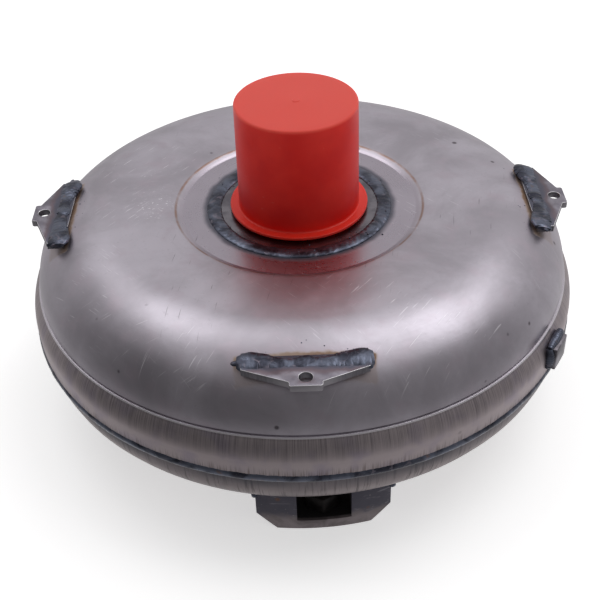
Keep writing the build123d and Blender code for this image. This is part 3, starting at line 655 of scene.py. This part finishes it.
def ovalPoints(sideR, sideZ, flatR, flatZ, sideRadius, steps=18):
    # two tangent arcs, upright at the side and level at the flat
    width, height = sideR - flatR, abs(flatZ - sideZ)
    up = 1 if flatZ > sideZ else -1
    large = (sideRadius**2 - height**2 - (width - sideRadius) ** 2) / (2 * (sideRadius - height))
    centre = sideR - sideRadius
    turn = math.atan2(large - height, centre - flatR)
    points = []
    for k in range(steps + 1):
        a = turn * k / steps
        points.append((centre + sideRadius * math.cos(a), sideZ + up * sideRadius * math.sin(a)))
    for k in range(1, steps + 1):
        a = turn + (math.pi / 2 - turn) * k / steps
        points.append((flatR + large * math.cos(a), flatZ + up * large * (math.sin(a) - 1)))
    return points


def rounded(corners, steps=4):
    # corners as (r, z, radius); each with a radius becomes a short arc
    points = []
    for k, (r, z, radius) in enumerate(corners):
        if radius <= 0 or k in (0, len(corners) - 1):
            points.append((r, z))
            continue
        here = Vector((r, z))
        back = (Vector(corners[k - 1][:2]) - here)
        ahead = (Vector(corners[k + 1][:2]) - here)
        half = back.angle(ahead) / 2
        reach = min(radius / math.tan(half), 0.45 * back.length, 0.45 * ahead.length)
        start, end = here + back.normalized() * reach, here + ahead.normalized() * reach
        for j in range(steps + 1):
            t = j / steps
            points.append(tuple((1 - t) ** 2 * start + 2 * t * (1 - t) * here + t * t * end))
    return points


def turnedPiece(name, points, slot, body, nodes, segments=256, **extra):
    inputs = {"Segments": segments, "Material": finishes[slot], **extra}
    return settle(grown(name, lineMesh(name, points), turnedForm, inputs), body, slot, *nodes)


# impeller shell

shell = dict(seam=156.0, crown=110.0, height=38.0, side=33.0, wall=4.0, hole=46.1, flat=69.0,
             drop=3.8, step=4.0, rise=2.2, bulge=161.5, bulgeDrop=14.0, band=24.0, taper=0.3,
             skirt=158.4, lip=0.95, groove=0.7)
shellLow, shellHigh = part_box("impeller_shell")
seamZ = shellLow[2] / mm + shell["band"]
crownZ = shellHigh[2] / mm
flatZ = crownZ - shell["drop"]


def crownPoints(level, steps=14):
    # gentle rise from the pressed step to the crown
    startR = shell["flat"] + shell["step"]
    run = shell["crown"] - startR
    fall = shell["drop"] - shell["rise"]
    return [(startR + run * k / steps, level - fall * (1 - k / steps) ** 2) for k in range(1, steps)]


def makeShell():
    s = shell
    stepR, stepZ = s["flat"] + s["step"], flatZ + s["rise"]
    flatTop = rounded([
        (s["hole"], flatZ - s["wall"], 0), (s["hole"], flatZ, 0.4), (s["flat"] - 0.6, flatZ, 1.6),
        (s["flat"] + 0.4, flatZ + 0.5, 0.5), (stepR - 0.8, stepZ - 0.25, 2.2), (stepR, stepZ, 0)])
    dome = ovalPoints(s["seam"], seamZ + 1.0, s["crown"], crownZ, s["side"], 30)[::-1]
    edge = s["seam"]
    groove = rounded([
        (edge, seamZ + 1.0, 0), (edge, seamZ + 0.75, 0.3), (edge - s["groove"], seamZ + 0.35, 0.2),
        (edge - s["groove"], seamZ - 0.05, 0.2), (edge + s["lip"] - 0.1, seamZ - 0.25, 0.35),
        (edge + s["lip"] + 0.15, seamZ - 0.95, 0.3), (edge + 1.15, seamZ - 1.5, 0)], 5)
    run, fall = s["bulge"] - edge - 1.15, s["bulgeDrop"] - 1.5
    radius = (run**2 + fall**2) / (2 * run)
    lean = math.asin(fall / radius)
    bulge = [(s["bulge"] - radius + radius * math.cos(lean * (1 - k / 16)),
              seamZ - s["bulgeDrop"] + radius * math.sin(lean * (1 - k / 16))) for k in range(1, 17)]
    low = seamZ - s["band"]
    inner = s["seam"] - s["wall"]
    joggle = seamZ - 2.0 - (s["skirt"] - inner)
    skirt = rounded([bulge[-1] + (0,), (s["bulge"] - s["taper"], low, 0.5), (s["skirt"], low, 0.3),
                     (s["skirt"], joggle, 1.5), (inner, seamZ - 2.0, 1.5), (inner, seamZ, 0)])
    inside = ovalPoints(inner, seamZ, s["crown"], crownZ - s["wall"], s["side"] - s["wall"], 12)
    innerCrown = [(r, z - s["wall"]) for r, z in crownPoints(crownZ)][::-1]
    close = [(stepR, stepZ - s["wall"]), (s["flat"], flatZ - s["wall"]), (s["hole"], flatZ - s["wall"])]
    points = (flatTop + crownPoints(crownZ) + dome + groove[1:] + bulge + skirt[1:] + inside[1:]
              + innerCrown + close)
    turnedPiece("impellerShell", points, "shell_steel", "housing", ["impeller_shell"], segments=300)


makeShell()
print("impeller shell turned")


# front cover, pilot and the welds that run right round

cover = dict(radius=158.3, wall=4.5, corner=26.3, side=26.6, sideHeight=27.0)
coverLow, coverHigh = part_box("front_cover")
coverZ = coverLow[2] / mm


def makeCover():
    c = cover
    rimZ, sideZ, flatR = coverHigh[2] / mm, coverZ + c["sideHeight"], c["radius"] - c["corner"]
    outer = ovalPoints(c["radius"], sideZ, flatR, coverZ, c["side"], 20)
    inner = ovalPoints(c["radius"] - c["wall"], sideZ, flatR, coverZ + c["wall"], c["side"] - c["wall"], 12)
    rim = rounded([outer[0] + (0,), (c["radius"], rimZ, 0.5), (c["radius"] - c["wall"], rimZ, 0.5),
                   inner[0] + (0,)])
    points = [(0.0, coverZ)] + outer[::-1] + rim[1:-1] + inner + [(0.0, coverZ + c["wall"])]
    turnedPiece("frontCover", points, "cover_steel", "housing", ["front_cover"], segments=240)


pilot = dict(radius=22.2, base=34.0, thickness=6.0, chamfer=2.0)


def makePilot():
    p = pilot
    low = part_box("pilot_boss")[0][2] / mm
    points = rounded([(0, coverZ, 0), (p["base"], coverZ, 0.3), (p["base"], coverZ - p["thickness"], 1.0),
                      (p["radius"], coverZ - p["thickness"], 1.4), (p["radius"], low + p["chamfer"], 0.4),
                      (p["radius"] - p["chamfer"], low, 0.4), (6.0, low, 0.4), (4.0, low + 1.6, 0.3),
                      (0, low + 1.6, 0)])
    turnedPiece("pilotBoss", points, "hub_steel", "housing", ["pilot_boss"], segments=128)


ringWelds = {
    "rimWeld": dict(node="rim_weld", middle=(158.95, 59.5), half=(2.9, 3.6), tilt=-0.15, ripples=300.0,
                    ripple=0.06, lumps=130.0, lump=0.75, seed=3.0, segments=800, sides=14),
    "hubWeld": dict(node="hub_weld", middle=(49.8, 119.1), half=(4.2, 1.35), tilt=0.0, ripples=90.0,
                    ripple=0.05, lumps=210.0, lump=0.75, seed=8.0, segments=420, sides=26),
    "pilotWeld": dict(node="pilot_weld", middle=(35.2, 25.8), half=(3.0, 2.4), tilt=0.5, ripples=60.0,
                      ripple=0.10, lumps=160.0, lump=0.5, seed=5.0, segments=240, sides=14),
}


def makeRingWelds():
    for name, w in ringWelds.items():
        points = []
        for k in range(w["sides"] + 1):
            a = 2 * math.pi * k / w["sides"]
            r, z = w["half"][0] * math.cos(a), w["half"][1] * math.sin(a)
            cosine, sine = math.cos(w["tilt"]), math.sin(w["tilt"])
            points.append((w["middle"][0] + r * cosine - z * sine, w["middle"][1] + r * sine + z * cosine))
        extra = {"Ripples": w["ripples"], "Ripple Height": w["ripple"] * mm, "Lump Scale": w["lumps"],
                 "Lump Height": w["lump"] * mm, "Seed": w["seed"]}
        turnedPiece(name, points, "weld", "housing", [w["node"]], segments=w["segments"], **extra)


makeCover()
makePilot()
makeRingWelds()
print("cover, pilot and ring welds turned")


# mounting ears

ear = dict(top=119.2, thickness=4.0, hole=150.0, holeRadius=3.5, tip=156.2, neck=153.0, halfTip=8.2,
           base=143.4, halfBase=31.5, root=134.0, bevel=0.30)


def flatPlate(name, outlines, low, high, bevel):
    # a plate with crisp broken edges, from closed outlines in its own plane
    curve = bpy.data.curves.new(name, "CURVE")
    curve.dimensions = "2D"
    curve.fill_mode = "BOTH"
    for points in outlines:
        spline = curve.splines.new("POLY")
        spline.points.add(len(points) - 1)
        for point, (u, t) in zip(spline.points, points):
            point.co = (u * mm, t * mm, 0.0, 1.0)
        spline.use_cyclic_u = True
    curve.extrude = ((high - low) / 2 - bevel) * mm
    curve.bevel_depth = bevel * mm
    curve.bevel_resolution = 2
    curve.offset = -bevel * mm
    holder = place(name + "Curve", curve)
    graph = bpy.context.evaluated_depsgraph_get()
    mesh = bpy.data.meshes.new_from_object(holder.evaluated_get(graph))
    bpy.data.objects.remove(holder)
    mesh.transform(Matrix.Translation((0, 0, (low + high) / 2 * mm)))
    bm = bmesh.new()
    bm.from_mesh(mesh)
    bmesh.ops.remove_doubles(bm, verts=bm.verts, dist=0.001 * mm)
    bmesh.ops.recalc_face_normals(bm, faces=bm.faces)
    bm.to_mesh(mesh)
    bm.free()
    return mesh


def makeEars():
    e = ear
    side = [(e["tip"], e["halfTip"] - 0.8), (e["tip"] - 0.8, e["halfTip"]), (e["neck"] + 0.4, e["halfTip"]),
            (e["neck"] - 0.2, e["halfTip"] + 1.0), (e["base"], e["halfBase"]), (e["root"], e["halfBase"])]
    outline = side + [(u, -t) for u, t in reversed(side)]
    hole = [(e["hole"] + e["holeRadius"] * math.cos(a), e["holeRadius"] * math.sin(a))
            for a in [2 * math.pi * k / 40 for k in range(40)]]
    plate = flatPlate("earPlate", [outline, hole], e["top"] - e["thickness"], e["top"], e["bevel"])
    for number in range(4):
        mesh = plate.copy()
        mesh.transform(Matrix.Rotation(math.radians(-90 + 90 * number), 4, "Z"))
        mesh.materials.clear()
        mesh.materials.append(finishes["ear_steel"])
        mesh.set_sharp_from_angle(angle=math.radians(50))
        piece = place(f"mountingEar_{number + 1}", mesh)
        settle(piece, "housing", "ear_steel", f"mounting_ear_{number + 1}")


# along the bead: share of its length, middle radius, half width
earBead = dict(half=33.6, level=118.6, slope=0.22, reach=139.0, squash=0.66, seed=11, shape=(
    (0.00, 137.6, 3.6), (0.04, 137.6, 5.4), (0.10, 137.7, 6.4), (0.19, 138.4, 5.7), (0.28, 139.6, 4.6),
    (0.40, 140.2, 3.9), (0.46, 139.7, 4.4), (0.51, 139.2, 4.9), (0.56, 139.9, 4.2), (0.68, 139.6, 4.6),
    (0.80, 138.4, 5.7), (0.90, 137.6, 6.5), (0.97, 137.5, 6.2), (1.00, 137.5, 4.2)), blob=2.6)


def beadCurve(name, lines):
    # one spline for each line of (point, radius) pairs
    curve = bpy.data.curves.new(name, "CURVE")
    curve.dimensions = "3D"
    for line in lines:
        spline = curve.splines.new("POLY")
        spline.points.add(len(line) - 1)
        for point, (where, thick) in zip(spline.points, line):
            point.co = (where[0] * mm, where[1] * mm, where[2] * mm, 1.0)
            point.radius = thick * mm
    return curve


def turnedPoint(u, t, z, angle):
    return (u * math.cos(angle) - t * math.sin(angle), u * math.sin(angle) + t * math.cos(angle), z)


def between(rows, share):
    # straight run between the rows on each side of a share
    for first, second in zip(rows, rows[1:]):
        if share <= second[0]:
            t = (share - first[0]) / (second[0] - first[0])
            return [p + (q - p) * t for p, q in zip(first, second)]
    return rows[-1]


def makeEarWelds():
    b = earBead
    dice = random.Random(b["seed"])
    lines = []
    for number in range(4):
        angle = math.radians(-90 + 90 * number)
        steps = 60
        line = []
        for k in range(steps + 1):
            share = k / steps
            _, u, thick = between(b["shape"], share)
            wobble = dice.uniform(-0.18, 0.18)
            where = turnedPoint(u + wobble, b["half"] * (2 * share - 1), b["level"], angle)
            line.append((where, thick + wobble))
        lines.append(line)
        # the bead starts with a round blob
        start = [(turnedPoint(137.0 + 0.5 * j, -b["half"] - 0.2, b["level"] + 0.6, angle),
                  b["blob"] * math.sqrt(max(0.05, 1 - ((j - 3) / 3.05) ** 2))) for j in range(7)]
        lines.append(start)
    inputs = {"Spacing": 0.45 * mm, "Sides": 30, "Pitch": 3.1 * mm, "Ripple Height": 0.03 * mm,
              "Level": b["level"] * mm, "Slope": b["slope"], "Reach": b["reach"] * mm,
              "Squash": b["squash"], "Lump Scale": 170.0, "Lump Height": 1.1 * mm, "Seed": 4.0,
              "Material": finishes["weld"]}
    piece = grown("earWelds", beadCurve("earWelds", lines), weldBead, inputs)
    settle(piece, "housing", "weld", "ear_welds")


makeEars()
makeEarWelds()
print("ears and their welds made")


# lugs, nuts and balance weight

def softened(name, node, bevel, segments, slot, angle=30):
    # a copy of a CAD node with its loose triangles merged and its edges broken
    mesh = frame["nodes"][node].data.copy()
    bm = bmesh.new()
    bm.from_mesh(mesh)
    bmesh.ops.remove_doubles(bm, verts=bm.verts, dist=0.002 * mm)
    bmesh.ops.dissolve_limit(bm, angle_limit=math.radians(0.8), verts=bm.verts, edges=bm.edges)
    bmesh.ops.recalc_face_normals(bm, faces=bm.faces)
    bm.to_mesh(mesh)
    bm.free()
    holder = place(name + "Base", mesh)
    edge = holder.modifiers.new("edge", "BEVEL")
    edge.width = bevel * mm
    edge.segments = segments
    edge.limit_method = "ANGLE"
    edge.angle_limit = math.radians(angle)
    edge.use_clamp_overlap = True
    graph = bpy.context.evaluated_depsgraph_get()
    made = bpy.data.meshes.new_from_object(holder.evaluated_get(graph))
    bpy.data.objects.remove(holder)
    made.materials.clear()
    made.materials.append(finishes[slot])
    made.polygons.foreach_set("material_index", [0] * len(made.polygons))
    made.shade_smooth()
    made.set_sharp_from_angle(angle=math.radians(40))
    faceOut(made)
    return place(name, made)


for number in range(1, 5):
    lugPiece = softened(f"driveLug_{number}", f"drive_lug_{number}", 0.9, 3, "lug_steel")
    settle(lugPiece, "housing", "lug_steel", f"drive_lug_{number}")
settle(softened("lugNuts", "lug_nuts", 0.5, 2, "nut_steel"), "housing", "nut_steel", "lug_nuts")
settle(softened("balanceWeight", "balance_weight", 0.45, 2, "weight_steel"), "housing", "weight_steel",
       "balance_weight")

lugBead = dict(angle=-86.9, side=37.0, inner=116.0, outer=142.0, level=27.0, thick=2.5)
weightBead = dict(angle=-31.2, half=8.6, radius=161.5, thick=2.9, height=13.5, level=72.3, cover=2.7,
                  topLevel=79.0)


def makeLugWelds():
    b = lugBead
    lines = []
    for number in range(4):
        angle = math.radians(b["angle"] + 90 * number)
        for side in (-1, 1):
            line = []
            for k in range(25):
                share = k / 24
                u = b["inner"] + (b["outer"] - b["inner"]) * share
                lift = max(0.0, u - 134.0) * 0.12
                thick = b["thick"] * (0.35 + 0.65 * math.sin(math.pi * share) ** 0.35)
                t = side * (b["side"] + 0.3 * math.sin(9 * share))
                where = turnedPoint(u, t, b["level"] + lift, angle)
                line.append((where, max(thick, 0.6)))
            lines.append(line)
    inputs = {"Spacing": 0.6 * mm, "Sides": 14, "Pitch": 2.2 * mm, "Ripple Height": 0.15 * mm,
              "Lump Scale": 200.0, "Lump Height": 1.0 * mm, "Seed": 9.0, "Material": finishes["weld"]}
    piece = grown("lugWelds", beadCurve("lugWelds", lines), weldBead, inputs)
    settle(piece, "housing", "weld", "lug_welds")


def makeWeightWelds():
    b = weightBead
    lines = []
    for side in (-1, 1):
        line = []
        for k in range(15):
            share = k / 14
            z = b["level"] - b["height"] / 2 + b["height"] * share
            thick = b["thick"] * (0.4 + 0.75 * math.sin(math.pi * share) ** 0.5)
            line.append((turnedPoint(b["radius"], side * b["half"], z, math.radians(b["angle"])), thick))
        lines.append(line)
    top = []
    for k in range(19):
        share = k / 18
        thick = b["cover"] * (0.55 + 0.45 * math.sin(math.pi * share) ** 0.5) * (0.85 + 0.2 * share)
        t = b["half"] * (2 * share - 1)
        where = turnedPoint(b["radius"], t, b["topLevel"] + 0.8 * share, math.radians(b["angle"]))
        top.append((where, thick))
    lines.append(top)
    inputs = {"Spacing": 0.4 * mm, "Sides": 14, "Pitch": 1.6 * mm, "Ripple Height": 0.12 * mm,
              "Lump Scale": 260.0, "Lump Height": 0.9 * mm, "Seed": 2.0, "Material": finishes["weld"]}
    piece = grown("weightWelds", beadCurve("weightWelds", lines), weldBead, inputs)
    settle(piece, "housing", "weld", "balance_weight_welds")


makeLugWelds()
makeWeightWelds()
print("lugs, nuts, weight and their welds made")


# weld spatter round the ears and the hub

spatter = dict(perEar=9, byHub=34, smallest=0.22, largest=0.55, seed=21)


def domeHeight(radius):
    # height of the shell's outer face at a radius
    side = ovalPoints(shell["seam"], seamZ, shell["crown"], crownZ, shell["side"], 60)
    if radius <= shell["flat"]:
        return flatZ
    if radius <= shell["crown"]:
        start = shell["flat"] + shell["step"]
        fall = shell["drop"] - shell["rise"]
        return crownZ - fall * ((shell["crown"] - radius) / (shell["crown"] - start)) ** 2
    return min(side, key=lambda point: abs(point[0] - radius))[1]


def makeSpatter():
    p = spatter
    dice = random.Random(p["seed"])
    points = []
    for number in range(4):
        for _ in range(p["perEar"]):
            u = 131.0 - abs(dice.gauss(0, 3.5))
            t = dice.uniform(-36, 36)
            points.append(turnedPoint(u, t, domeHeight(math.hypot(u, t)), math.radians(-90 + 90 * number)))
    for _ in range(p["byHub"]):
        a = dice.uniform(0, 2 * math.pi)
        r = dice.uniform(42.0, 58.0)
        lift = 1.3 if abs(r - 48.9) < 3.5 else 0.0
        points.append((r * math.cos(a), r * math.sin(a), flatZ + lift))
    mesh = bpy.data.meshes.new("spatterPoints")
    mesh.from_pydata([(x * mm, y * mm, z * mm) for x, y, z in points], [], [])
    inputs = {"Smallest": p["smallest"] * mm, "Largest": p["largest"] * mm, "Seed": p["seed"],
              "Material": finishes["weld"]}
    settle(grown("weldSpatter", mesh, weldSpatter, inputs), "housing", "weld")


makeSpatter()
print("spatter scattered")


# protective cap

cap = dict(inner=33.2, top=34.6, low=35.05, flange=40.1, thickness=1.8, edge=1.4, end=2.0, gate=1.8,
           gateHeight=0.4, nickAngle=-84.0, nickReach=2.2, nickDepth=0.012)


def makeCap():
    c = cap
    low, high = (corner[2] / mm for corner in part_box("hub_cap"))
    topZ = high - c["gateHeight"]
    points = rounded([
        (0, topZ - c["end"], 0), (c["inner"], topZ - c["end"], 0.8), (c["inner"], low, 0.3),
        (c["flange"], low, 0.5), (c["flange"], low + c["thickness"], 0.6),
        (c["low"], low + c["thickness"], 1.2),
        (c["top"] + 0.06, topZ - 8.0, 0), (c["top"], topZ, c["edge"]), (c["top"] - 5.0, topZ, 0),
        (c["gate"] + 0.4, topZ, 0.2), (c["gate"], high, 0.2), (0, high, 0)], 5)
    piece = turnedPiece("hubCap", points, "cap_plastic", "cap", ["hub_cap"], segments=192)
    # a small nick in the flange's rim
    a = math.radians(c["nickAngle"])
    nick = Vector((c["flange"] * math.cos(a), c["flange"] * math.sin(a), low + c["thickness"])) * mm
    for vertex in piece.data.vertices:
        near = 1 - (vertex.co - nick).length / (c["nickReach"] * mm)
        if near > 0:
            vertex.co.xy *= 1 - c["nickDepth"] * near
    return piece


makeCap()
print("cap turned")


# nodes that keep their shape get their finish only

def paintNodes():
    slots = {row["node"]: row["material_slot"] for row in frame["record"]["subparts"]}
    for name, node in frame["nodes"].items():
        if name not in standIns:
            node.data.materials.clear()
            node.data.materials.append(finishes[slots[name]])


paintNodes()


# floor, light and camera

studio = dict(floor=6.0, near=0.9, floorColour=paint(0.90, 0.90, 0.90), floorGlow=0.52, boxDistance=1.7)
softBoxes = {
    "rightBox": dict(heading=(0.44, 0.16, 0.88), size=1.15, power=5.6),
    "leftBox": dict(heading=(-0.36, 0.33, 0.87), size=0.95, power=3.1),
}
# radiance of the room round the table: dim in front, brighter behind, overhead and underneath
room = dict(front=0.15, behind=0.42, right=0.15, overhead=0.30, under=0.20)


def makeStudio():
    floorMesh = bpy.data.meshes.new("floor")
    half, near = studio["floor"] / 2, -studio["near"]
    corners = [(-half, near, 0), (half, near, 0), (half, half, 0), (-half, half, 0)]
    floorMesh.from_pydata(corners, [], [(0, 1, 2, 3)])
    floor = place("floor", floorMesh)
    floor.visible_glossy = False
    s = Surface("floorPaint")
    tone = s.noise(s.place, scale=3.0, detail=1.0)
    colour = s.blend(tone, studio["floorColour"], paint(0.92, 0.92, 0.92))
    glow = {"Emission Color": paint(1.0, 1.0, 1.0), "Emission Strength": studio["floorGlow"]}
    floorMesh.materials.append(s.finish(colour, 0.7, 0.0, fixed=glow))

    target = Vector((0, 0, seamZ * mm))
    for name, box in softBoxes.items():
        lamp = bpy.data.lights.new(name, "AREA")
        lamp.shape = "DISK"
        lamp.size = box["size"]
        lamp.energy = box["power"]
        holder = place(name, lamp)
        heading = Vector(box["heading"]).normalized()
        holder.location = target + heading * studio["boxDistance"]
        holder.rotation_euler = heading.to_track_quat("Z", "Y").to_euler()

    world = bpy.data.worlds.new("studioWorld")
    scene.world = world
    world.use_nodes = True
    board = Board(world.node_tree)
    x, y, z = board.split(board.add("ShaderNodeTexCoord", None, None, out=0))
    glow = (board.smooth(y, -0.35, 0.75) * room["behind"] + board.smooth(x, -0.2, 0.9) * room["right"]
            + board.smooth(z, 0.55, 0.95) * room["overhead"] + board.smooth(z, -0.40, -0.80) * room["under"]
            + room["front"])
    # the backdrop itself stays white
    seen = board.add("ShaderNodeLightPath", None, None)
    colour = board.blend(glow.do("MAXIMUM", seen), paint(0.0, 0.0, 0.0), paint(1.0, 0.985, 0.99))
    sky = board.add("ShaderNodeBackground", None, {"Color": colour, "Strength": 1.0})
    board.add("ShaderNodeOutputWorld", None, {0: sky})


view = dict(elevation=38.47, roll=2.01, lens=64.04, distance=649.0, right=1.5, up=29.7)


def makeCamera():
    v = view
    lift = math.radians(v["elevation"])
    lean = math.radians(v["roll"])
    right = Vector((1, 0, 0))
    up = Vector((0, math.sin(lift), math.cos(lift)))
    ahead = Vector((0, math.cos(lift), -math.sin(lift)))
    centre = Vector((0, 0, seamZ * mm))
    eye = centre - (right * v["right"] + up * v["up"] + ahead * v["distance"]) * mm
    side = right * math.cos(lean) - up * math.sin(lean)
    top = right * math.sin(lean) + up * math.cos(lean)
    camera = bpy.data.cameras.new("camera")
    camera.lens = v["lens"]
    camera.sensor_width = 36.0
    camera.clip_start = 0.01
    holder = place("camera", camera)
    axes = Matrix((side, top, -ahead)).transposed()
    holder.matrix_world = Matrix.Translation(eye) @ axes.to_4x4()
    scene.camera = holder


makeStudio()
makeCamera()
scene.view_settings.view_transform = "Standard"
print("studio and camera set")
